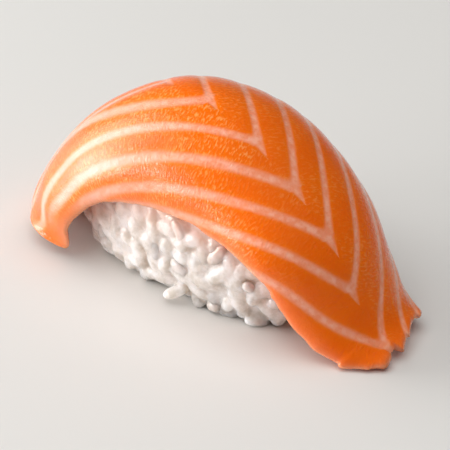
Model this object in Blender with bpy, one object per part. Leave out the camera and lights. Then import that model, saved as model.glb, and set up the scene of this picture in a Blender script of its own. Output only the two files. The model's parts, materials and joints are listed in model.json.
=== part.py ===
"""Salmon nigiri: one slice of raw salmon draped over a pressed block of sushi rice.

Two separate pieces, each one closed solid:
  salmon_slice   a flat cut about 5 mm thick, wider than the rice, whose left
                 tongue curls down and whose right end flares out on the table
  rice_block     cooked short-grain rice pressed by hand, with an uneven skin of
                 grains; its flat underside is what the nigiri rests on
Front is -Y, up is +Z, and the long way of the nigiri runs along X.
"""
import math

import bmesh
import bpy
import numpy as np
from mathutils import Vector, noise
from mathutils.bvhtree import BVHTree

MM = 0.001

# ---------------------------------------------------------------- dimensions
SLICE_LENGTH = 99.2 * MM        # along the middle of the slice, end to end
SLICE_THICKNESS = 5.0 * MM      # in the middle of the cut
LONG_EDGE_POWER = 5.0           # higher keeps the slab square nearer its long edges
END_ROUNDING = 1.1 * MM         # how far in the cut ends are rounded over
END_TAPER = 9.5 * MM            # how far in the slab thins toward its ends
END_THICKNESS_SHARE = 0.38     # what is left of the thickness at the ends
LEFT_END_SKEW = 3.8 * MM        # the left end is cut on a slant ...
LEFT_END_TONGUE = 12.6 * MM     # ... and narrows to a rounded tongue
RIGHT_END_SKEW = 2.0 * MM
RIGHT_END_TONGUE = 1.9 * MM
RIGHT_END_TEAR = 0.55 * MM      # raggedness of the torn right end
SLICE_RESTS_AT = 0.05 * MM      # its lowest corner, just off the table

# The slice at places along its length, left end to right end:
# share of length, slope of the middle (deg), half width (mm),
# how far each long edge is bent down (deg), lean toward the front (deg)
SLICE_STATIONS = (
    (0.00, 80.0, 11.0, 45.0, -3.0),
    (0.05, 64.0, 17.3, 59.0, -2.0),
    (0.09, 57.5, 20.2, 93.0, -4.0),
    (0.14, 57.5, 19.9, 82.0, -4.0),
    (0.22, 49.0, 19.6, 80.0, -2.0),
    (0.34, 25.5, 19.4, 73.0, 5.5),
    (0.48, 0.0, 18.9, 74.0, 9.0),
    (0.62, -23.5, 17.1, 66.5, 9.0),
    (0.76, -41.5, 15.4, 55.0, 1.5),
    (0.88, -63.0, 13.5, 55.0, 0.5),
    (1.00, -9.0, 8.0, 5.0, 8.5),
)

RICE_LENGTH = 50.0 * MM         # of the pressed block at its widest level
RICE_WIDTH = 25.6 * MM
RICE_MIDDLE = (35.2 * MM, 0.5 * MM)
RICE_CORE_HEIGHT = 8.0 * MM     # level from which the block's skin is measured
RICE_PLAN_POWER = 2.9           # 2 is an ellipse, higher is squarer
GRAIN_BUMP = 1.0 * MM           # how far grains stand out of the block's skin
GRAIN_PITCH = 3.4 * MM          # spacing of those grains
GAP = 0.3 * MM                  # left between the slice and the rice

# The block from under its middle, out and up its side, to its top:
# share of the half width, height (mm), share of the grain bumps.
# Its top is higher than the slice and is pressed down to fit under it.
RICE_PROFILE = (
    (0.00, 0.0, 0.0),
    (0.50, 0.0, 0.0),
    (0.82, 0.0, 0.3),
    (0.88, 0.9, 1.0),
    (0.93, 3.2, 1.0),
    (0.98, 6.0, 1.0),
    (1.00, 9.5, 1.0),
    (1.00, 14.0, 1.0),
    (0.97, 19.0, 0.8),
    (0.80, 25.0, 0.2),
    (0.40, 29.0, 0.0),
    (0.00, 30.0, 0.0),
)

SLICE_RINGS = 58
SLICE_ROW = 21                  # points across one face of the slice
RICE_RINGS = 25
RICE_SIDES = 96


# ---------------------------------------------------------------- small tools
def through_stations(column, share):
    """A smooth curve through one column of SLICE_STATIONS."""
    at = np.array([row[0] for row in SLICE_STATIONS])
    value = np.array([row[column] for row in SLICE_STATIONS])
    step = np.diff(at)
    rise = np.diff(value) / step
    lean = np.empty(len(at))
    lean[0], lean[-1] = rise[0], rise[-1]
    lean[1:-1] = (rise[:-1] * step[1:] + rise[1:] * step[:-1]) / (step[:-1] + step[1:])
    share = np.clip(share, 0.0, 1.0)
    i = np.clip(np.searchsorted(at, share, side="right") - 1, 0, len(at) - 2)
    t = (share - at[i]) / step[i]
    return ((2 * t**3 - 3 * t**2 + 1) * value[i] + (t**3 - 2 * t**2 + t) * step[i] * lean[i]
            + (3 * t**2 - 2 * t**3) * value[i + 1] + (t**3 - t**2) * step[i] * lean[i + 1])


def smooth_step(x):
    x = np.clip(x, 0.0, 1.0)
    return x * x * (3.0 - 2.0 * x)


def solid(name, points, faces, colour, roughness):
    """One closed object with its own material, normals outward."""
    mesh = bpy.data.meshes.new(name)
    mesh.from_pydata([tuple(p) for p in points], [], faces)
    bm = bmesh.new()
    bm.from_mesh(mesh)
    bmesh.ops.triangulate(bm, faces=bm.faces)
    bmesh.ops.recalc_face_normals(bm, faces=bm.faces)
    bm.to_mesh(mesh)
    bm.free()
    material = bpy.data.materials.new(name)
    material.use_nodes = True
    shader = material.node_tree.nodes["Principled BSDF"]
    shader.inputs["Base Color"].default_value = (*colour, 1.0)
    shader.inputs["Roughness"].default_value = roughness
    shader.inputs["Metallic"].default_value = 0.0
    mesh.materials.append(material)
    thing = bpy.data.objects.new(name, mesh)
    bpy.context.collection.objects.link(thing)
    return thing


def tube_faces(rings, around):
    """Quads of a tube of rings, and the index of each point on it."""
    faces = []
    for i in range(rings - 1):
        for j in range(around):
            k = (j + 1) % around
            faces.append((i * around + j, i * around + k, (i + 1) * around + k, (i + 1) * around + j))
    return faces


# ---------------------------------------------------------------- the slice
def slice_face(side, across, along):
    """Points of the top (side 1) or bottom (side -1) face of the draped slice.

    across runs -1 (front edge) to 1 (back edge), along 0 (left end) to 1.
    """
    shares = np.linspace(0.0, 1.0, 401)
    slopes = np.radians(through_stations(1, shares))
    step = SLICE_LENGTH / 400
    run = np.concatenate([[0.0], np.cumsum((np.cos(slopes[1:]) + np.cos(slopes[:-1])) / 2 * step)])
    rise = np.concatenate([[0.0], np.cumsum((np.sin(slopes[1:]) + np.sin(slopes[:-1])) / 2 * step)])

    q = across[None, :]
    u = along[:, None]
    tear = np.abs(np.sin(6.1 * q + 0.6)) + 0.6 * np.abs(np.sin(15.0 * q + 1.9))
    left = LEFT_END_SKEW * q + LEFT_END_TONGUE * q**2
    right = SLICE_LENGTH - RIGHT_END_SKEW * q - RIGHT_END_TONGUE * q**2 - RIGHT_END_TEAR * tear
    place = left + (right - left) * u
    share = place / SLICE_LENGTH

    half_width = through_stations(2, share) * MM
    edge_bend = np.radians(np.maximum(through_stations(3, share), 0.1))
    roll = np.radians(through_stations(4, share))
    slope = np.interp(share, shares, slopes)
    middle_x = np.interp(share, shares, run)
    middle_z = np.interp(share, shares, rise)
    beyond = np.clip(place - SLICE_LENGTH, 0.0, None) + np.clip(place, None, 0.0)
    middle_x = middle_x + beyond * np.cos(slope)
    middle_z = middle_z + beyond * np.sin(slope)

    from_end = np.minimum(place - left, right - place)
    rounded = 0.25 + 0.75 * np.sqrt(1.0 - (1.0 - np.clip(from_end / END_ROUNDING, 0.0, 1.0))**2)
    thinned = END_THICKNESS_SHARE + (1.0 - END_THICKNESS_SHARE) * smooth_step(from_end / END_TAPER)
    slab = np.sqrt(np.maximum(1.0 - np.abs(q)**LONG_EDGE_POWER, 0.0))
    offset = side * SLICE_THICKNESS / 2 * slab * rounded * thinned

    angle = edge_bend * q
    radius = half_width / edge_bend
    sideways = (radius + offset) * np.sin(angle)
    outward = (radius + offset) * np.cos(angle) - radius
    y = sideways * np.cos(roll) - outward * np.sin(roll)
    up = sideways * np.sin(roll) + outward * np.cos(roll)
    return np.stack([middle_x - np.sin(slope) * up, y, middle_z + np.cos(slope) * up], axis=-1)


def make_slice():
    across = np.sin(np.pi / 2 * np.linspace(-1.0, 1.0, SLICE_ROW))
    along = np.linspace(0.0, 1.0, SLICE_RINGS)
    along = along + 0.055 * np.sin(4 * np.pi * along) * -0.25
    top = slice_face(1, across, along)
    bottom = slice_face(-1, across, along)[:, 1:-1][:, ::-1]
    rings = np.concatenate([top, bottom], axis=1)
    count = rings.shape[1]
    points = rings.reshape(-1, 3)
    points[:, 2] += SLICE_RESTS_AT - points[:, 2].min()
    faces = tube_faces(SLICE_RINGS, count)
    for first in (0, (SLICE_RINGS - 1) * count):
        faces.append((first, first + 1, first + count - 1))
        for j in range(1, SLICE_ROW - 2):
            faces.append((first + j, first + j + 1, first + count - j - 1, first + count - j))
        faces.append((first + SLICE_ROW - 2, first + SLICE_ROW - 1, first + SLICE_ROW))
    return solid("salmon_slice", points, faces, (0.82, 0.26, 0.07), 0.30)


# ---------------------------------------------------------------- the rice
def grain_bump(point):
    """0 in the creases between grains, 1 on the crown of a grain."""
    spot = Vector((point.x / GRAIN_PITCH, point.y / GRAIN_PITCH, 1.25 * point.z / GRAIN_PITCH))
    near = noise.voronoi(spot)[0]
    return min(1.0, 1.6 * (near[1] - near[0]))


def make_rice(cover):
    """The pressed block, kept a gap below and inside the slice that covers it."""
    tree = BVHTree.FromPolygons([v.co for v in cover.data.vertices],
                                [tuple(p.vertices) for p in cover.data.polygons])
    profile = np.array(RICE_PROFILE)
    rows = np.linspace(0.0, len(profile) - 1.0, RICE_RINGS)
    reach, height, bumpy = (np.interp(rows, range(len(profile)), profile[:, k]) for k in range(3))
    middle_x, middle_y = RICE_MIDDLE
    points = [Vector((middle_x, middle_y, 0.0))]
    for i in range(1, RICE_RINGS - 1):
        for j in range(RICE_SIDES):
            turn = 2 * math.pi * j / RICE_SIDES
            c, s = math.cos(turn), math.sin(turn)
            plan = (abs(c)**RICE_PLAN_POWER + abs(s)**RICE_PLAN_POWER)**(-1.0 / RICE_PLAN_POWER)
            x = RICE_LENGTH / 2 * reach[i] * plan * c
            y = RICE_WIDTH / 2 * reach[i] * plan * s
            skin = Vector((middle_x + x, middle_y + y, height[i] * MM))
            core = Vector((middle_x + 0.6 * x, middle_y, RICE_CORE_HEIGHT))
            way = (skin - core).normalized()
            far = (skin - core).length + GRAIN_BUMP * bumpy[i] * (grain_bump(skin) - 0.6)
            hit, normal, _, distance = tree.ray_cast(core, way)
            if hit is not None:
                far = min(far, distance - GAP / max(0.35, abs(way.dot(normal))))
            spot = core + way * far
            for _ in range(4):
                near, normal, _, distance = tree.find_nearest(spot)
                if distance < GAP:
                    spot += (spot - near).normalized() * (GAP - distance)
            if height[i] == 0.0 or spot.z < 0.0:
                spot.z = 0.0
            points.append(spot)
    points.append(Vector((middle_x, middle_y, points[-1].z)))
    sides = RICE_SIDES
    faces = [tuple(k + 1 for k in face) for face in tube_faces(RICE_RINGS - 2, sides)]
    last = len(points) - 1
    for j in range(sides):
        k = (j + 1) % sides
        faces.append((0, 1 + k, 1 + j))
        faces.append((last, last - sides + j, last - sides + k))
    return solid("rice_block", points, faces, (0.84, 0.80, 0.74), 0.38)


# ---------------------------------------------------------------- the nigiri
for old in list(bpy.data.objects):
    bpy.data.objects.remove(old, do_unlink=True)

salmon = make_slice()
rice = make_rice(salmon)

# Centre the whole over the origin, its underside staying on z = 0.
corners = np.array([tuple(v.co) for thing in (salmon, rice) for v in thing.data.vertices])
centre = (corners.min(axis=0) + corners.max(axis=0)) / 2
for thing in (salmon, rice):
    for v in thing.data.vertices:
        v.co.x -= centre[0]
        v.co.y -= centre[1]
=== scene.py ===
"""Salmon nigiri: a striped slice of raw salmon draped over a hand-pressed block of sushi rice."""
import json
import math

import bmesh
import bpy
import numpy as np
from mathutils import Matrix, Vector, noise
from mathutils.bvhtree import BVHTree

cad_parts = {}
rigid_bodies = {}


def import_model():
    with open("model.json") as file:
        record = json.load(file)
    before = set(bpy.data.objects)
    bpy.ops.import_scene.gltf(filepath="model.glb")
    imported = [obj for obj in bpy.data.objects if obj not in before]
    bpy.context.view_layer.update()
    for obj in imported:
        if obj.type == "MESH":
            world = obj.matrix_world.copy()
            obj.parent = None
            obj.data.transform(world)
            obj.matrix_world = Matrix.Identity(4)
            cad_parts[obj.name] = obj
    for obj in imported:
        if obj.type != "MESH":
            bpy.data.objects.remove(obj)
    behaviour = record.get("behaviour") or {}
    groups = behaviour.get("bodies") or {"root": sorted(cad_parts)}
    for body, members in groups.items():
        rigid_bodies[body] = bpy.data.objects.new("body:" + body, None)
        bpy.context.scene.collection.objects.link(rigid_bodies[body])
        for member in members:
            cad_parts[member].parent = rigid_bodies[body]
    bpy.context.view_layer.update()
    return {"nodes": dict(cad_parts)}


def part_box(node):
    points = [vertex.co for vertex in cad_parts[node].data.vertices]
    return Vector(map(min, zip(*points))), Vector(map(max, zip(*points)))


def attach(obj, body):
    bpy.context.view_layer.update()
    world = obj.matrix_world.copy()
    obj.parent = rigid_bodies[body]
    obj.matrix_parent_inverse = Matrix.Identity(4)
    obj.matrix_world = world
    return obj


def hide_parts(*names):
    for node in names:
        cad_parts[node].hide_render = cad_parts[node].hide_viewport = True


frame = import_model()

MM = 0.001


# ------------------------------------------------------------------ salmon slice
# One slice of raw salmon about 5 mm thick, cut on the slant across the fillet,
# so the white fat between its muscle leaves shows as a row of Vs. It lies over
# the rice, pressed down along both long edges; the right end is slightly torn.

SLICE_LENGTH = 99.2                # mm, along the middle of the slice
SLICE_THICKNESS = 5.0              # mm, in the middle of the cut
LEFT_END_SKEW, LEFT_END_TONGUE = 3.8, 12.6      # mm the left end is cut back
RIGHT_END_SKEW, RIGHT_END_TONGUE = 2.0, 1.9     # mm the right end is cut back
RIGHT_END_SHORT = 0.6                            # mm lost to the tear all along the right end
SLAB_SQUARENESS = 5                              # the higher, the squarer the two long edges
EDGE_WAVE, EDGE_WAVE_LENGTH = 0.35, 5.0          # mm, the long edges aren't cut quite straight
LEAF_RELIEF, SURFACE_SWELL = 0.10, 0.22          # mm, the muscle leaves stand up a little, the face swells

# share of length, slope of the middle (deg), half width (mm),
# how far each long edge is bent down (deg), lean toward the front (deg)
SLICE_STATIONS = np.array((
    (0.00, 80.0, 11.0, 45.0, -3.0),
    (0.05, 64.0, 17.3, 59.0, -2.0),
    (0.09, 57.5, 20.2, 93.0, -4.0),
    (0.14, 57.5, 19.9, 82.0, -4.0),
    (0.22, 49.0, 19.6, 80.0, -2.0),
    (0.34, 25.5, 19.4, 73.0, 5.5),
    (0.48, 0.0, 18.9, 74.0, 9.0),
    (0.62, -23.5, 17.1, 66.5, 9.0),
    (0.76, -41.5, 15.4, 55.0, 1.5),
    (0.88, -63.0, 13.5, 55.0, 0.5),
    (1.00, -9.0, 8.0, 5.0, 8.5),
))

# Each fat line: place of its point along the slice (mm) and to the side of the
# middle (mm), how far its front limb can drop (mm) and over what length (mm), how
# steeply its back limb rises, how pale it is and how broad its front limb is.
# The last two points lie past the torn end.
FAT_LINES = (
    (25.0, 4.2, 17.0, 22.0, 0.70, 0.6, 1.0),
    (37.0, 2.6, 17.0, 21.0, 0.68, 0.75, 1.0),
    (48.0, 0.4, 6.8, 9.0, 0.74, 0.9, 1.5),
    (59.6, -1.4, 23.5, 60.0, 0.70, 1.0, 1.0),
    (69.0, -2.5, 20.5, 43.0, 0.69, 1.0, 1.1),
    (78.0, -3.2, 19.2, 32.0, 0.64, 1.0, 1.0),
    (86.4, -3.2, 19.0, 24.0, 0.60, 1.0, 1.0),
    (98.0, -2.6, 42.0, 62.0, 0.45, 0.95, 1.0),
    (104.0, -0.6, 60.0, 18.0, 0.43, 0.9, 1.0),
    (109.5, 1.0, 60.0, 18.0, 0.42, 0.8, 1.0),
)
FRONT_LIMB_HALF, BACK_LIMB_HALF = 0.60, 0.46     # mm, half the width of a line's two limbs
WEB = 1.35                         # how little fat fills the corner where the limbs meet
TAIL_HALF, TAIL_LENGTH = 0.60, 3.2               # mm, the short spike past a line's point
TAIL_CLOSED_FROM = 2.6                           # mm past the point, where the spike is brought to an end
TAIL_TURN_PLACE, TAIL_TURN = 79.0, 0.016         # mm where the spikes lie straight, turn per mm from it

# Each muscle leaf is torn off at a place of its own at the right end: from which
# share of the half width toward the front, how far it sticks out there (mm) and
# how much further per share of the half width.
LEAF_ENDS = ((0.60, -0.3, 3.8), (0.24, 0.4, 2.8), (-0.14, -0.2, 0.0), (-0.44, 0.5, 2.6))
FRONT_CORNER_CUT, BACK_CORNER_KNOB = 2.1, 1.1    # mm, the front corner is round, the back one a small knob
NICK_DEPTH, NICK_SPACING, NICKS_FROM = 0.38, 1.9, 76.0     # mm, along the front edge of the torn end
STEP_RISE, STEP_AT, STEP_FALL, FALL_FROM = 0.6, 95.0, 1.6, 93.8      # mm, a low step on that edge
TEAR_ROUGHNESS, TEAR_HOLD = 0.15, 14             # mm; the higher the hold, the shorter the torn part
END_ROUNDING, END_THINNING = 1.1, 9.5            # mm from either end over which it rounds off and thins
THIN_SHARE = 0.38                                # thickness left at the ends


def along_slice(column, share):
    """A smooth curve through one column of SLICE_STATIONS."""
    at, value = SLICE_STATIONS[:, 0], SLICE_STATIONS[:, column]
    step = np.diff(at)
    rise = np.diff(value) / step
    lean = np.empty(len(at))
    lean[0], lean[-1] = rise[0], rise[-1]
    lean[1:-1] = (rise[:-1] * step[1:] + rise[1:] * step[:-1]) / (step[:-1] + step[1:])
    share = np.clip(share, 0.0, 1.0)
    i = np.clip(np.searchsorted(at, share, side="right") - 1, 0, len(at) - 2)
    t = (share - at[i]) / step[i]
    return ((2 * t**3 - 3 * t**2 + 1) * value[i] + (t**3 - 2 * t**2 + t) * step[i] * lean[i]
            + (3 * t**2 - 2 * t**3) * value[i + 1] + (t**3 - t**2) * step[i] * lean[i + 1])


def ease(x):
    x = np.clip(x, 0.0, 1.0)
    return x * x * (3.0 - 2.0 * x)


def uneven(x, y, size, seed):
    """Smooth unevenness between about -1 and 1, size mm from bump to bump."""
    values = [noise.noise(Vector((a / size, b / size, seed))) for a, b in zip(x.ravel(), y.ravel())]
    return np.array(values).reshape(x.shape)


def fat_line_nearness(place, sideways):
    """How far the nearest fat line is (1 at its edge), how pale it is, how far its back limb rules."""
    nearest = np.full(place.shape, 60.0)
    paleness = np.ones(place.shape)
    back_limb = np.zeros(place.shape)
    for point, side, drop, reach, rise, pale, broad in FAT_LINES:
        behind = np.clip(point - place, 0.0, None)
        slope = drop / reach * np.exp(-behind / reach)
        dropped = drop * (1.0 - np.exp(-behind / reach))
        front = np.abs(sideways - side + dropped) / np.sqrt(1.0 + slope**2)
        front = front / (FRONT_LIMB_HALF * broad * (0.9 + 0.006 * behind))       # broader away from the point
        climb = rise * behind * (1.0 + 0.008 * behind)                           # and a little steeper
        back = np.abs(sideways - side - climb) / math.sqrt(1.0 + rise**2) / BACK_LIMB_HALF
        webbed = -np.log(np.exp(-WEB * front) + np.exp(-WEB * back)) / WEB
        beyond = np.clip(place - point, 0.0, None)
        drift = np.clip(TAIL_TURN * (point - TAIL_TURN_PLACE), -0.45, None) * beyond
        tail = np.abs(sideways - side - drift)
        tail = tail / (TAIL_HALF * np.clip(1.0 - beyond / TAIL_LENGTH, 0.02, 1.0))
        tail = tail + np.clip(beyond - TAIL_CLOSED_FROM, 0.0, None)
        away = np.where(beyond > 0, tail, webbed)
        closer = away < nearest
        nearest = np.where(closer, away, nearest)
        faded = pale * (1.0 - 0.6 * np.clip(beyond / TAIL_LENGTH, 0.0, 1.0))
        paleness = np.where(closer, faded, paleness)
        ruled = ease(0.5 + (sideways - side + 0.12 * (place - point)) / 2.4)      # over 2.4 mm at the point
        back_limb = np.where(closer, ruled, back_limb)
    # The lowest lines sink back into the muscle at the front corner of the left end.
    paleness = paleness * ease((place + 4.0 * (sideways + 14.6)) / 12.0)
    return nearest, paleness, back_limb


def slice_face(side, across, along):
    """Points (mm) of the top (side 1) or bottom (side -1) face, and what is drawn on them."""
    shares = np.linspace(0.0, 1.0, 401)
    slopes = np.radians(along_slice(1, shares))
    step = SLICE_LENGTH / 400
    run = np.concatenate([[0.0], np.cumsum((np.cos(slopes[1:]) + np.cos(slopes[:-1])) / 2 * step)])
    climb = np.concatenate([[0.0], np.cumsum((np.sin(slopes[1:]) + np.sin(slopes[:-1])) / 2 * step)])

    q = across[None, :]
    u = along[:, None]
    stick_out = TEAR_ROUGHNESS * uneven(9.0 * q, 0.0 * q, 1.0, 21.0)
    for start, base, growth in LEAF_ENDS:
        stick_out = np.where(q < start, base + growth * (start - q), stick_out)
    left = LEFT_END_SKEW * q + LEFT_END_TONGUE * q**2
    stick_out = stick_out - FRONT_CORNER_CUT * ease((-q - 0.72) / 0.28)
    stick_out = stick_out + BACK_CORNER_KNOB * ease((q - 0.74) / 0.1)
    right = SLICE_LENGTH - RIGHT_END_SHORT - RIGHT_END_SKEW * q - RIGHT_END_TONGUE * q**2
    place = left + (right - left) * u + stick_out * u**TEAR_HOLD
    share = place / SLICE_LENGTH

    half_width = along_slice(2, share)
    edge_wave = EDGE_WAVE * uneven(place, np.sign(q) * 7.0 + 0.0 * place, EDGE_WAVE_LENGTH, 3.0)
    half_width = half_width + edge_wave * np.abs(q)**6 * ease(share * 3.0)
    nicks = NICK_DEPTH * uneven(place, 0.0 * place, NICK_SPACING, 14.0) * np.abs(q)**16 * (q < 0)
    half_width = half_width + nicks * ease((place - NICKS_FROM) / 6.0)
    step_on_edge = STEP_RISE * ease((place - STEP_AT) / 0.4) - STEP_FALL * ease((place - FALL_FROM) / 5.0)
    half_width = half_width + step_on_edge * (q < 0)
    edge_bend = np.radians(np.maximum(along_slice(3, share), 0.1))
    roll = np.radians(along_slice(4, share))
    slope = np.interp(share, shares, slopes)
    beyond = np.clip(place - SLICE_LENGTH, 0.0, None) + np.clip(place, None, 0.0)
    middle_x = np.interp(share, shares, run) + beyond * np.cos(slope)
    middle_z = np.interp(share, shares, climb) + beyond * np.sin(slope)

    from_end = np.minimum(place - left, right + stick_out * u**TEAR_HOLD - place)
    rounded = 0.25 + 0.75 * np.sqrt(1.0 - (1.0 - np.clip(from_end / END_ROUNDING, 0.0, 1.0))**2)
    thinned = THIN_SHARE + (1.0 - THIN_SHARE) * ease(from_end / END_THINNING)
    slab = np.sqrt(np.maximum(1.0 - np.abs(q)**SLAB_SQUARENESS, 0.0))
    offset = side * SLICE_THICKNESS / 2 * slab * rounded * thinned

    sideways = half_width * q
    near_fat, paleness, back_limb = fat_line_nearness(place, sideways)
    near_fat = near_fat * (1.0 + 0.18 * uneven(place, sideways, 6.0, 9.0))
    if side > 0:
        leaf = 1.0 - np.exp(-(near_fat / 2.2)**2)
        skin = LEAF_RELIEF * (leaf - 0.7) + SURFACE_SWELL * uneven(place, sideways, 13.0, 5.0)
        offset = offset + skin * slab * ease(from_end / 3.0)

    angle = edge_bend * q
    radius = half_width / edge_bend
    reach = (radius + offset) * np.sin(angle)
    outward = (radius + offset) * np.cos(angle) - radius
    y = reach * np.cos(roll) - outward * np.sin(roll)
    up = reach * np.sin(roll) + outward * np.cos(roll)
    points = np.stack([middle_x - np.sin(slope) * up, y, middle_z + np.cos(slope) * up], axis=-1)

    # Streaks of muscle fibre run from one fat line to the next; these count mm along and
    # across each limb. Pale glints of the sheen are painted on the fibre streaks; on the front
    # limbs they fade toward the torn end, away from where the sheen falls.
    front_step, front_across = 0.95 * place + 0.30 * sideways, 0.95 * sideways - 0.30 * place
    back_step, back_across = 0.84 * place - 0.54 * sideways, 0.84 * sideways + 0.54 * place
    rim = np.maximum(np.abs(q)**24, 0.8 * np.exp(-from_end / 0.35)) * np.ones_like(place)
    drawn = {"fat_line": near_fat, "fat_paleness": paleness, "cut_rim": rim,
             "front_step": front_step, "front_across": front_across,
             "back_step": back_step, "back_across": back_across, "back_limb": back_limb,
             "raised_fibre": 0.4 * back_limb + (1.0 - back_limb) * ease((86.0 - place) / 24.0)}
    return points, drawn


SLICE_RINGS, TOP_ROW, BOTTOM_ROW = 320, 145, 41
along = np.linspace(0.0, 1.0, SLICE_RINGS)
top_row = np.linspace(-1.0, 1.0, TOP_ROW)
bottom_row = np.linspace(-1.0, 1.0, BOTTOM_ROW)
top, top_drawn = slice_face(1, 0.6 * top_row + 0.4 * np.sin(np.pi / 2 * top_row), along)
bottom, bottom_drawn = slice_face(-1, np.sin(np.pi / 2 * bottom_row), along)
rings = np.concatenate([top, bottom[:, 1:-1][:, ::-1]], axis=1)
around = rings.shape[1]
points = rings.reshape(-1, 3)

# The same place as the modelled slice: left end on left end, foot on foot.
box_low, box_high = (np.array(corner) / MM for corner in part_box("salmon_slice"))
points[:, 1] -= (points[:, 1].min() + points[:, 1].max() - box_low[1] - box_high[1]) / 2
points[:, 0] += box_low[0] - points[:, 0].min()
points[:, 2] += box_low[2] - points[:, 2].min()

faces = []
for i in range(SLICE_RINGS - 1):
    for j in range(around):
        k = (j + 1) % around
        faces.append((i * around + j, i * around + k, (i + 1) * around + k, (i + 1) * around + j))
under = np.linspace(0, BOTTOM_ROW - 1, TOP_ROW).round().astype(int)    # the point below each of the top row
for first in (0, (SLICE_RINGS - 1) * around):
    cap = [first + j for j in range(around)]
    for j in range(TOP_ROW - 1):
        a, b = under[j], under[j + 1]
        low_a = cap[0] if a == 0 else cap[TOP_ROW - 1] if a == BOTTOM_ROW - 1 else cap[around - a]
        low_b = cap[0] if b == 0 else cap[TOP_ROW - 1] if b == BOTTOM_ROW - 1 else cap[around - b]
        corners = []
        for corner in (cap[j], cap[j + 1], low_b, low_a):
            if corner not in corners:
                corners.append(corner)
        if len(corners) > 2:
            faces.append(tuple(corners))
mesh = bpy.data.meshes.new("salmon_slice_dressed")
mesh.from_pydata([tuple(p * MM) for p in points], [], faces)
for name in top_drawn:
    row = np.concatenate([top_drawn[name], bottom_drawn[name][:, 1:-1][:, ::-1]], axis=1)
    mesh.attributes.new(name, "FLOAT", "POINT").data.foreach_set("value", row.ravel().astype(np.float32))
shaped = bmesh.new()
shaped.from_mesh(mesh)
bmesh.ops.recalc_face_normals(shaped, faces=shaped.faces)
shaped.to_mesh(mesh)
shaped.free()
mesh.polygons.foreach_set("use_smooth", [True] * len(mesh.polygons))
salmon = bpy.data.objects.new("salmon_slice_dressed", mesh)
bpy.context.scene.collection.objects.link(salmon)


def linear(hex_colour):
    """An sRGB hex colour as the linear RGBA that a node takes."""
    parts = [int(hex_colour[k:k + 2], 16) / 255 for k in (1, 3, 5)]
    return tuple(c / 12.92 if c <= 0.04045 else ((c + 0.055) / 1.055)**2.4 for c in parts) + (1.0,)


def add_node(tree, kind, inputs=(), **settings):
    """One node of a tree, its settings, and its inputs as values or as sockets to link."""
    made = tree.nodes.new(kind)
    for name, value in settings.items():
        setattr(made, name, value)
    for key, value in dict(inputs).items():
        if isinstance(value, bpy.types.NodeSocket):
            tree.links.new(value, made.inputs[key])
        else:
            made.inputs[key].default_value = value
    return made


# Raw salmon: wet, slightly see-through muscle. Light goes a few millimetres into
# it and comes back deep orange; the fat lines stay pale and dull, the wet film on
# the cut gives a broad soft gloss.
raw_salmon = bpy.data.materials.new("raw_salmon_flesh")
raw_salmon.use_nodes = True
flesh = raw_salmon.node_tree
flesh.nodes.clear()
place = add_node(flesh, "ShaderNodeTexCoord").outputs["Object"]
fat_distance = add_node(flesh, "ShaderNodeAttribute", attribute_name="fat_line").outputs["Fac"]
fat_paleness = add_node(flesh, "ShaderNodeAttribute", attribute_name="fat_paleness").outputs["Fac"]
cut_rim = add_node(flesh, "ShaderNodeAttribute", attribute_name="cut_rim").outputs["Fac"]
ragged = add_node(flesh, "ShaderNodeTexNoise",                       # 1.2 mm wobble of the line edges
                  {"Vector": place, "Scale": 800.0, "Detail": 3.0}).outputs["Fac"]
wobble = add_node(flesh, "ShaderNodeMath", {0: ragged, 1: -0.5}, operation="ADD").outputs[0]
wobble = add_node(flesh, "ShaderNodeMath", {0: wobble, 1: 0.9}, operation="MULTIPLY").outputs[0]
fat_edge = add_node(flesh, "ShaderNodeMath", {0: fat_distance, 1: wobble}, operation="ADD").outputs[0]
fat = add_node(flesh, "ShaderNodeMapRange",                          # soft, about a line's half width
               {"Value": fat_edge, "From Min": 1.70, "From Max": 0.30, "To Min": 0.0, "To Max": 1.0},
               interpolation_type="SMOOTHSTEP").outputs["Result"]
fat_halo = add_node(flesh, "ShaderNodeMapRange",                     # fat seen through the muscle beside it
                    {"Value": fat_edge, "From Min": 2.6, "From Max": 0.8, "To Min": 0.0, "To Max": 1.0},
                    interpolation_type="SMOOTHSTEP").outputs["Result"]

fibres = []
for limb in ("front", "back"):                                       # fibre bundles about 0.35 mm apart
    step = add_node(flesh, "ShaderNodeAttribute", attribute_name=limb + "_step").outputs["Fac"]
    across = add_node(flesh, "ShaderNodeAttribute", attribute_name=limb + "_across").outputs["Fac"]
    across = add_node(flesh, "ShaderNodeMath", {0: across, 1: 0.42}, operation="MULTIPLY").outputs[0]
    spot = add_node(flesh, "ShaderNodeCombineXYZ", {"X": step, "Y": across}).outputs[0]
    fibres.append(add_node(flesh, "ShaderNodeTexNoise",
                           {"Vector": spot, "Scale": 2.8, "Detail": 1.5, "Roughness": 0.6}).outputs["Fac"])
back_limb = add_node(flesh, "ShaderNodeAttribute", attribute_name="back_limb").outputs["Fac"]
fibres = add_node(flesh, "ShaderNodeMix", {0: back_limb, 2: fibres[0], 3: fibres[1]}).outputs[0]
grain = add_node(flesh, "ShaderNodeTexNoise",                        # 0.3 mm velvety tooth of the cut
                 {"Vector": place, "Scale": 2400.0, "Detail": 3.0, "Roughness": 0.6}).outputs["Fac"]
blotch = add_node(flesh, "ShaderNodeTexNoise",                       # 9 mm patches of deeper colour
                  {"Vector": place, "Scale": 110.0, "Detail": 2.0}).outputs["Fac"]

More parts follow.
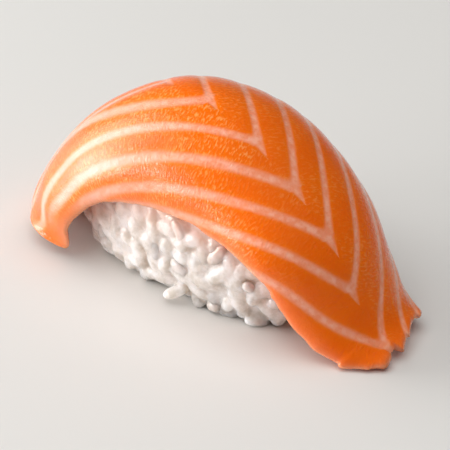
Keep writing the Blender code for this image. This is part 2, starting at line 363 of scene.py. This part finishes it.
# (a colour Mix takes its factor at 0 and its colours at 6 and 7, and gives its result at 2)
muscle = add_node(flesh, "ShaderNodeMix", {0: blotch, 6: linear("#f06002"), 7: linear("#f87404")},
                  data_type="RGBA").outputs[2]
# Painted glints: the fibres are lightened in streaks where the sheen of the light catches them.
painted_fibre_glints = add_node(flesh, "ShaderNodeMapRange",
                   {"Value": fibres, "From Min": 0.50, "From Max": 0.64, "To Min": 0.0, "To Max": 1.0}
                   ).outputs[0]
patches = add_node(flesh, "ShaderNodeMapRange",                      # the painted glints come and go in patches
                   {"Value": blotch, "From Min": 0.40, "From Max": 0.60, "To Min": 0.15, "To Max": 0.65}
                   ).outputs[0]
painted_fibre_glints = add_node(flesh, "ShaderNodeMath", {0: painted_fibre_glints, 1: patches}, operation="MULTIPLY").outputs[0]
# painted glints show most toward the left end, where the sheen falls, and fade toward the torn end
grain_lift_and_fibre_glint = add_node(flesh, "ShaderNodeAttribute", attribute_name="raised_fibre").outputs["Fac"]
painted_fibre_glints = add_node(flesh, "ShaderNodeMath", {0: painted_fibre_glints, 1: grain_lift_and_fibre_glint}, operation="MULTIPLY").outputs[0]
muscle = add_node(flesh, "ShaderNodeMix", {0: painted_fibre_glints, 6: muscle, 7: linear("#ffae60")},
                  data_type="RGBA").outputs[2]
halo = add_node(flesh, "ShaderNodeMath", {0: fat_halo, 1: 0.35}, operation="MULTIPLY").outputs[0]
muscle = add_node(flesh, "ShaderNodeMix", {0: halo, 6: muscle, 7: linear("#f4841c")},
                  data_type="RGBA").outputs[2]

mottled = add_node(flesh, "ShaderNodeMapRange",
                   {"Value": ragged, "From Min": 0.38, "From Max": 0.62}).outputs[0]
fat_colour = add_node(flesh, "ShaderNodeMix", {0: mottled, 6: linear("#f3926a"), 7: linear("#faae92")},
                      data_type="RGBA").outputs[2]
to_left = add_node(flesh, "ShaderNodeSeparateXYZ", {0: place}).outputs["X"]
painted_sheen_on_fat = add_node(flesh, "ShaderNodeMapRange",                       # painted sheen: the fat is paler toward the left end, where the light's sheen falls
                  {"Value": to_left, "From Min": 4.0 * MM, "From Max": -26.0 * MM,
                   "To Min": 0.0, "To Max": 0.45}, interpolation_type="SMOOTHSTEP").outputs["Result"]
fat_colour = add_node(flesh, "ShaderNodeMix", {0: painted_sheen_on_fat, 6: fat_colour, 7: linear("#fccab8")},
                      data_type="RGBA").outputs[2]
fat_cover = add_node(flesh, "ShaderNodeMath", {0: fat, 1: fat_paleness}, operation="MULTIPLY").outputs[0]
colour = add_node(flesh, "ShaderNodeMix", {0: fat_cover, 6: muscle, 7: fat_colour},
                  data_type="RGBA").outputs[2]
rim_cover = add_node(flesh, "ShaderNodeMath",                        # the cut rim dries paler
                     {0: cut_rim, 1: 0.75}, operation="MULTIPLY").outputs[0]
colour = add_node(flesh, "ShaderNodeMix", {0: rim_cover, 6: colour, 7: linear("#f8a67c")},
                  data_type="RGBA").outputs[2]

tooth = add_node(flesh, "ShaderNodeMath", {0: grain, 1: fibres}, operation="ADD").outputs[0]
rough = add_node(flesh, "ShaderNodeMapRange",
                 {"Value": tooth, "From Min": 0.7, "From Max": 1.3, "To Min": 0.14, "To Max": 0.24}
                 ).outputs[0]
relief = add_node(flesh, "ShaderNodeBump",
                  {"Strength": 1.0, "Distance": 0.11 * MM, "Height": tooth}).outputs[0]
relief = add_node(flesh, "ShaderNodeBump",                           # the fat lies a little lower
                  {"Strength": 0.35, "Distance": 0.10 * MM, "Height": fat, "Normal": relief},
                  invert=True).outputs[0]
film = add_node(flesh, "ShaderNodeBump",
                {"Strength": 1.0, "Distance": 0.05 * MM, "Height": tooth}).outputs[0]
wet_skin = add_node(flesh, "ShaderNodeBsdfPrincipled", {
    "Base Color": colour, "Roughness": rough, "Normal": relief, "Coat Normal": film, "IOR": 1.38,
    "Subsurface Weight": 0.25, "Subsurface Radius": (1.0, 0.30, 0.12), "Subsurface Scale": 2.5 * MM,
    "Coat Weight": 0.5, "Coat Roughness": 0.08, "Coat IOR": 1.36})
add_node(flesh, "ShaderNodeOutputMaterial", {"Surface": wet_skin.outputs[0]})
salmon.data.materials.append(raw_salmon)
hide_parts("salmon_slice")
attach(salmon, "root")


# ------------------------------------------------------------------ rice block
# Cooked short-grain rice pressed to a block by hand. In the hand the outer grains
# are squeezed flat and glued by their own starch, so most of the skin is one lumpy
# mass of half-sunk grains; a few still stand free, and one sticks out at the foot.

GRAIN_LENGTH = 5.4 * MM
GRAIN_ROWS, GRAIN_SIDES = 6, 8                         # faces along and around a grain
SUNK_SPACING, LOOSE_SPACING = 2.6 * MM, 7.0 * MM       # least distance between grain middles
CORE_INSET = 0.6 * MM                                  # how far the core lies under the modelled skin
CORE_FOOT = 0.30 * MM                                  # height of the core's underside
LEFT_FULLNESS = 1.2 * MM                               # how far the left end of the core is pushed out
STRAY_GRAIN = ((-1.3, -13.3, 1.5), (1.7, -10.3, 3.1))  # mm, ends of the grain squeezed out of the foot
GLUE_FINENESS = 0.27 * MM                              # the skin that runs the grains into one
UNDER_SLICE_GAP = 0.1 * MM                             # rice is kept this far under the slice
FISH_REACH = 8.0 * MM                                  # how far from the fish its painted bounce light reaches on the rice


# Cooked rice: swollen starch, white but half clear, with a sticky wet film. Light
# soaks far into it, so its creases stay bright, and small wet glints show on it.
def cooked_rice(name, depth, share, dull, bright):
    """Cooked starch between two colours; share of the light goes depth metres into it."""
    made = bpy.data.materials.new(name)
    made.use_nodes = True
    starch = made.node_tree
    starch.nodes.clear()
    place = add_node(starch, "ShaderNodeTexCoord").outputs["Object"]
    cloudy = add_node(starch, "ShaderNodeTexNoise",                  # 2.5 mm clouds, as from grain to grain
                      {"Vector": place, "Scale": 400.0, "Detail": 4.0, "Roughness": 0.6}).outputs["Fac"]
    pitted = add_node(starch, "ShaderNodeTexNoise",                  # 0.4 mm dents and starch film
                      {"Vector": place, "Scale": 2400.0, "Detail": 3.0, "Roughness": 0.6}).outputs["Fac"]
    milky = add_node(starch, "ShaderNodeMapRange",
                     {"Value": cloudy, "From Min": 0.38, "From Max": 0.62}).outputs[0]
    colour = add_node(starch, "ShaderNodeMix", {0: milky, 6: linear(dull), 7: linear(bright)},
                      data_type="RGBA").outputs[2]
    # painted bounce light of the fish: a pink-orange tint on the rice near the slice
    fish_bounce_tint = add_node(starch, "ShaderNodeAttribute", attribute_name="fish_bounce_tint").outputs["Fac"]
    fish_bounce_tint = add_node(starch, "ShaderNodeMath", {0: fish_bounce_tint, 1: 0.9}, operation="MULTIPLY").outputs[0]
    colour = add_node(starch, "ShaderNodeMix", {0: fish_bounce_tint, 6: colour, 7: linear("#f4b8a2")},
                      data_type="RGBA").outputs[2]
    rough = add_node(starch, "ShaderNodeMapRange",
                     {"Value": pitted, "From Min": 0.3, "From Max": 0.7, "To Min": 0.25, "To Max": 0.55}
                     ).outputs[0]
    lumpy = add_node(starch, "ShaderNodeMath", {0: cloudy, 1: 2.0, 2: pitted},
                     operation="MULTIPLY_ADD").outputs[0]
    relief = add_node(starch, "ShaderNodeBump",
                      {"Strength": 1.0, "Distance": 0.055 * MM, "Height": lumpy}).outputs[0]
    film = add_node(starch, "ShaderNodeBump",
                    {"Strength": 1.0, "Distance": 0.11 * MM, "Height": pitted}).outputs[0]
    sticky = add_node(starch, "ShaderNodeBsdfPrincipled", {
        "Base Color": colour, "Roughness": rough, "Normal": relief, "Coat Normal": film, "IOR": 1.38,
        "Subsurface Weight": share, "Subsurface Radius": (1.0, 0.90, 0.80), "Subsurface Scale": depth,
        "Coat Weight": 0.7, "Coat Roughness": 0.05, "Coat IOR": 1.38})
    add_node(starch, "ShaderNodeOutputMaterial", {"Surface": sticky.outputs[0]})
    return made


pressed_rice = cooked_rice("cooked_rice_pressed", 8.0 * MM, 1.0, "#c6bab0", "#ebe2de")
single_grain = cooked_rice("cooked_rice_grain", 1.2 * MM, 0.7, "#cabeb5", "#e7dcd8")


def rice_grain(name, length, width, thick, bend, taper):
    """One grain along X: plump, a little bent, one end narrower than the other."""
    rows, sides = GRAIN_ROWS, GRAIN_SIDES
    spots = [(-length / 2, bend * 0.6, 0.0)]
    for i in range(1, rows):
        t = -math.cos(math.pi * i / rows)
        full = (1.0 - abs(t)**2.6)**0.5 * (1.0 - taper * (t + 1.0) / 2)
        for j in range(sides):
            turn = 2 * math.pi * j / sides
            spots.append((length / 2 * t, width / 2 * full * math.cos(turn) + bend * (t * t - 0.4),
                          thick / 2 * full * math.sin(turn)))
    spots.append((length / 2, bend * 0.6, 0.0))
    last = len(spots) - 1
    skin = []
    for j in range(sides):
        k = (j + 1) % sides
        skin.append((0, 1 + k, 1 + j))
        skin.append((last, last - sides + j, last - sides + k))
        for i in range(rows - 2):
            a = 1 + i * sides
            skin.append((a + j, a + k, a + sides + k, a + sides + j))
    shape = bpy.data.meshes.new(name)
    shape.from_pydata(spots, [], skin)
    return bpy.data.objects.new(name, shape)


# Each kind: length, width, thickness and bend as shares of GRAIN_LENGTH, and taper.
GRAIN_KINDS = (("plump", 0.95, 0.58, 0.36, 0.02, 0.12), ("long", 1.00, 0.52, 0.34, 0.03, 0.05),
               ("bent", 0.90, 0.54, 0.34, -0.04, 0.16), ("short", 0.62, 0.50, 0.38, 0.02, 0.20))
grain_kinds = bpy.data.collections.new("grain_kinds")
for name, *shares, taper in GRAIN_KINDS:
    sizes = [share * GRAIN_LENGTH for share in shares]
    grain_kinds.objects.link(rice_grain("grain_" + name, *sizes, taper))

# The core: the modelled block, smoothed and drawn in where the grains go on it.
block = bmesh.new()
block.from_mesh(frame["nodes"]["rice_block"].data)
bmesh.ops.remove_doubles(block, verts=block.verts, dist=0.001 * MM)
bmesh.ops.recalc_face_normals(block, faces=block.faces)
for _ in range(3):
    bmesh.ops.smooth_vert(block, verts=[v for v in block.verts if v.co.z > 0.01 * MM], factor=0.5,
                          use_axis_x=True, use_axis_y=True, use_axis_z=True)
block.normal_update()
cover = BVHTree.FromPolygons([v.co for v in salmon.data.vertices],
                             [tuple(p.vertices) for p in salmon.data.polygons])
bare_skin = []
for v in block.verts:
    bare = min(1.0, max(0.0, (cover.find_nearest(v.co)[3] - 0.6 * MM) / (0.8 * MM)))
    inward = v.normal * CORE_INSET * max(bare, 0.15)
    if v.co.z < 0.01 * MM:
        inward.z = 0.0
        bare = 0.0
    bare_skin.append(bare)
    v.co -= inward
    v.co.x -= LEFT_FULLNESS * bare * min(1.0, max(0.0, (-v.co.x / MM - 12.0) / 8.0))
    v.co.z = max(v.co.z, CORE_FOOT)
outer_end, inner_end = (Vector(end) * MM for end in STRAY_GRAIN)
lie = (inner_end - outer_end).to_track_quat("X", "Z").to_matrix().to_4x4()
stray = grain_kinds.objects["grain_plump"].data.copy()
stray.transform(Matrix.Translation((outer_end + inner_end) / 2) @ lie)
block.from_mesh(stray)
bare_skin += [0.0] * len(stray.vertices)                             # no further grains lie on it
core_mesh = bpy.data.meshes.new("rice_core")
block.to_mesh(core_mesh)
block.free()
core_mesh.attributes.new("bare_skin", "FLOAT", "POINT").data.foreach_set("value", bare_skin)

# Grains scattered on the core's bare skin, sunk or raised a little, laid flat and turned at random.
laying = bpy.data.node_groups.new("grains_laid_on_core", "GeometryNodeTree")
for name, kind in (("Core", "Geometry"), ("Spacing", "Float"), ("Lowest", "Float"), ("Highest", "Float"),
                   ("Rise To Right", "Float"), ("Tilt", "Float"), ("Keep Core", "Bool"), ("Seed", "Int"),
                   ("Grain Kinds", "Collection"), ("Rice", "Material")):
    laying.interface.new_socket(name, in_out="INPUT", socket_type="NodeSocket" + kind)
laying.interface.new_socket("Grains", in_out="OUTPUT", socket_type="NodeSocketGeometry")
given = add_node(laying, "NodeGroupInput").outputs
bare = add_node(laying, "GeometryNodeInputNamedAttribute", {"Name": "bare_skin"},
                data_type="FLOAT").outputs[0]
spots = add_node(laying, "GeometryNodeDistributePointsOnFaces",
                 {"Mesh": given["Core"], "Distance Min": given["Spacing"], "Density Max": 2.0e6,
                  "Density Factor": bare, "Seed": given["Seed"]}, distribute_method="POISSON")
# (a random value takes 2 and 3 and gives 1 as a decimal, takes 4 and 5 and gives 2 as a whole number)
lift = add_node(laying, "FunctionNodeRandomValue",
                {2: given["Lowest"], 3: given["Highest"], "Seed": 7}, data_type="FLOAT").outputs[1]
to_right = add_node(laying, "ShaderNodeSeparateXYZ",
                    {0: add_node(laying, "GeometryNodeInputPosition").outputs[0]}).outputs["X"]
rise = add_node(laying, "ShaderNodeMath",                            # the right end is pressed less
                {0: to_right, 1: given["Rise To Right"]}, operation="MULTIPLY").outputs[0]
lift = add_node(laying, "ShaderNodeMath", {0: lift, 1: rise}, operation="ADD").outputs[0]
grain_lift_and_fibre_glint = add_node(laying, "ShaderNodeVectorMath", {0: spots.outputs["Normal"], "Scale": lift},
                  operation="SCALE").outputs[0]
middles = add_node(laying, "GeometryNodeSetPosition",
                   {"Geometry": spots.outputs["Points"], "Offset": grain_lift_and_fibre_glint}).outputs[0]
most = add_node(laying, "ShaderNodeCombineXYZ",
                {"X": given["Tilt"], "Y": given["Tilt"], "Z": math.pi}).outputs[0]
least = add_node(laying, "ShaderNodeVectorMath", {0: most, "Scale": -1.0}, operation="SCALE").outputs[0]
twist = add_node(laying, "FunctionNodeRandomValue", {0: least, 1: most, "Seed": 11},
                 data_type="FLOAT_VECTOR").outputs[0]
twist = add_node(laying, "FunctionNodeEulerToRotation", {"Euler": twist}).outputs[0]
turned = add_node(laying, "FunctionNodeRotateRotation",
                  {"Rotation": spots.outputs["Rotation"], "Rotate By": twist},
                  rotation_space="LOCAL").outputs[0]
size = add_node(laying, "FunctionNodeRandomValue", {2: 0.85, 3: 1.12, "Seed": 13},
                data_type="FLOAT").outputs[1]
kind = add_node(laying, "FunctionNodeRandomValue", {4: 0, 5: len(GRAIN_KINDS) - 1, "Seed": 17},
                data_type="INT").outputs[2]
grains = add_node(laying, "GeometryNodeCollectionInfo",
                  {"Collection": given["Grain Kinds"], "Separate Children": True,
                   "Reset Children": True}).outputs[0]
laid = add_node(laying, "GeometryNodeInstanceOnPoints",
                {"Points": middles, "Instance": grains, "Pick Instance": True,
                 "Instance Index": kind, "Rotation": turned, "Scale": size}).outputs[0]
kept = add_node(laying, "GeometryNodeSwitch", {"Switch": given["Keep Core"], "True": given["Core"]},
                input_type="GEOMETRY").outputs[0]
both = add_node(laying, "GeometryNodeJoinGeometry", {"Geometry": laid}).inputs["Geometry"]
laying.links.new(kept, both)
real = add_node(laying, "GeometryNodeRealizeInstances", {"Geometry": both.node.outputs[0]}).outputs[0]
level = add_node(laying, "ShaderNodeVectorMath",                      # nothing reaches below the table top
                 {0: add_node(laying, "GeometryNodeInputPosition").outputs[0],
                  1: (-1.0, -1.0, 0.06 * MM)}, operation="MAXIMUM").outputs[0]
real = add_node(laying, "GeometryNodeSetPosition", {"Geometry": real, "Position": level}).outputs[0]
real = add_node(laying, "GeometryNodeSetShadeSmooth", {"Geometry": real}).outputs[0]
real = add_node(laying, "GeometryNodeSetMaterial",
                {"Geometry": real, "Material": given["Rice"]}).outputs[0]
add_node(laying, "NodeGroupOutput", {"Grains": real})
sockets = {item.name: item.identifier for item in laying.interface.items_tree if item.in_out == "INPUT"}
rice_low, rice_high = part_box("rice_block")
rice_heart_y, rice_heart_z = (rice_low[1] + rice_high[1]) / 2, 6.0 * MM


def lay_grains(name, fused, **sizes):
    """Grains laid on the core as one mesh; fused runs them and the core into one skin."""
    bed = bpy.data.objects.new(name + "_bed", core_mesh)
    bpy.context.scene.collection.objects.link(bed)
    laid_on = bed.modifiers.new("laid", "NODES")
    laid_on.node_group = laying
    for key, value in dict(sizes, Keep_Core=fused, Grain_Kinds=grain_kinds, Rice=single_grain).items():
        laid_on[sockets[key.replace("_", " ")]] = value
    if fused:
        glue = bed.modifiers.new("glued", "REMESH")
        glue.mode = "VOXEL"
        glue.voxel_size = GLUE_FINENESS
        glue.use_smooth_shade = True
        soften = bed.modifiers.new("softened", "SMOOTH")
        soften.factor = 0.5
        soften.iterations = 3
    shape = bpy.data.meshes.new_from_object(bed.evaluated_get(bpy.context.evaluated_depsgraph_get()))
    bpy.data.objects.remove(bed, do_unlink=True)
    shape.name = name
    if fused:
        shape.materials.clear()
        shape.materials.append(pressed_rice)
    # Grains give way to the slice: what would stand inside it is drawn back toward the block's heart.
    for v in shape.vertices:
        skin_spot, outward, _, _ = cover.find_nearest(v.co)
        if (v.co - skin_spot).dot(outward) < 0.0:
            inward = (Vector((0.7 * v.co.x, rice_heart_y, rice_heart_z)) - v.co).normalized()
            underside = cover.ray_cast(v.co, inward)[0]
            if underside:
                v.co = underside + UNDER_SLICE_GAP * inward
    # Painted bounce light: within a few millimetres of the fish the rice is tinted toward its pink-orange, as
    # light coming off the fish would colour it.
    fish_bounce_tint = [max(0.0, 1.0 - cover.find_nearest(v.co)[3] / FISH_REACH)**2.6 for v in shape.vertices]
    shape.attributes.new("fish_bounce_tint", "FLOAT", "POINT").data.foreach_set("value", fish_bounce_tint)
    piece = bpy.data.objects.new(name, shape)
    bpy.context.scene.collection.objects.link(piece)
    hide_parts("rice_block")
    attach(piece, "root")


lay_grains("rice_pressed_mass", True, Spacing=SUNK_SPACING, Lowest=-0.25 * MM, Highest=0.22 * MM,
           Rise_To_Right=0.015, Tilt=0.22, Seed=9)
lay_grains("rice_loose_grains", False, Spacing=LOOSE_SPACING, Lowest=-0.20 * MM, Highest=0.05 * MM,
           Rise_To_Right=0.025, Tilt=0.35, Seed=12)
for grain in list(grain_kinds.objects):
    bpy.data.objects.remove(grain, do_unlink=True)


# ------------------------------------------------------------------ studio
# A plain pale table top. A long low soft light at the front left and a panel at the
# left draw the sheen on the wet slice; a low fill and a wide overhead panel light it
# without leaving a haze. The camera stands above and to the right of the front.

table = bpy.data.meshes.new("table_top")
TABLE_HALF = 1.5                     # m
table.from_pydata([(x * TABLE_HALF, y * TABLE_HALF, 0) for x, y in ((-1, -1), (1, -1), (1, 1), (-1, 1))], [],
                  [(0, 1, 2, 3)])
table_top = bpy.data.objects.new("table_top", table)
bpy.context.scene.collection.objects.link(table_top)
board = bpy.data.materials.new("matt_pale_board")
board.use_nodes = True
board.node_tree.nodes["Principled BSDF"].inputs["Base Color"].default_value = linear("#dcdad6")
board.node_tree.nodes["Principled BSDF"].inputs["Roughness"].default_value = 0.6
table.materials.append(board)


def soft_light(name, place, aim, width, height, power):
    """A rectangular area light at place, turned to aim; both in metres."""
    lamp = bpy.data.lights.new(name, "AREA")
    lamp.shape = "RECTANGLE"
    lamp.size, lamp.size_y = width, height
    lamp.energy = power
    holder = bpy.data.objects.new(name, lamp)
    holder.location = place
    holder.rotation_euler = (Vector(aim) - Vector(place)).to_track_quat("-Z", "Y").to_euler()
    bpy.context.scene.collection.objects.link(holder)
    return holder


soft_light("key_left_front", (-0.48, -0.34, 0.085), (0.0, 0.0, 0.015), 0.38, 0.14, 2.6)
soft_light("panel_left", (-0.58, -0.14, 0.25), (0.0, 0.0, 0.015), 0.45, 0.45, 2.2)
fill = soft_light("fill_front_low", (-0.30, -0.55, 0.10), (0.0, 0.0, 0.012), 0.45, 0.45, 1.8)
fill.visible_glossy = False
overhead = soft_light("overhead", (0.05, -0.12, 0.90), (0.0, 0.0, 0.015), 1.2, 1.2, 8.6)
overhead.visible_glossy = False      # these two light, but leave no haze on wet flesh

world = bpy.data.worlds.new("pale_room")
world.use_nodes = True
world.node_tree.nodes["Background"].inputs["Color"].default_value = linear("#ebebea")
world.node_tree.nodes["Background"].inputs["Strength"].default_value = 0.08
bpy.context.scene.world = world
bpy.context.scene.view_settings.view_transform = "Standard"

VIEW_AZIMUTH, VIEW_ELEVATION, VIEW_DISTANCE = math.radians(41.2), math.radians(30.6), 0.483
aim = Vector((0.0029, -0.0031, 0.0119))
back = Vector((math.sin(VIEW_AZIMUTH) * math.cos(VIEW_ELEVATION),
               -math.cos(VIEW_AZIMUTH) * math.cos(VIEW_ELEVATION), math.sin(VIEW_ELEVATION)))
lens = bpy.data.cameras.new("camera")
lens.lens = 239.0
lens.sensor_width = 36.0
lens.clip_start = 0.01
camera = bpy.data.objects.new("camera", lens)
camera.location = aim + back * VIEW_DISTANCE
camera.rotation_euler = (-back).to_track_quat("-Z", "Y").to_euler()
bpy.context.scene.collection.objects.link(camera)
bpy.context.scene.camera = camera
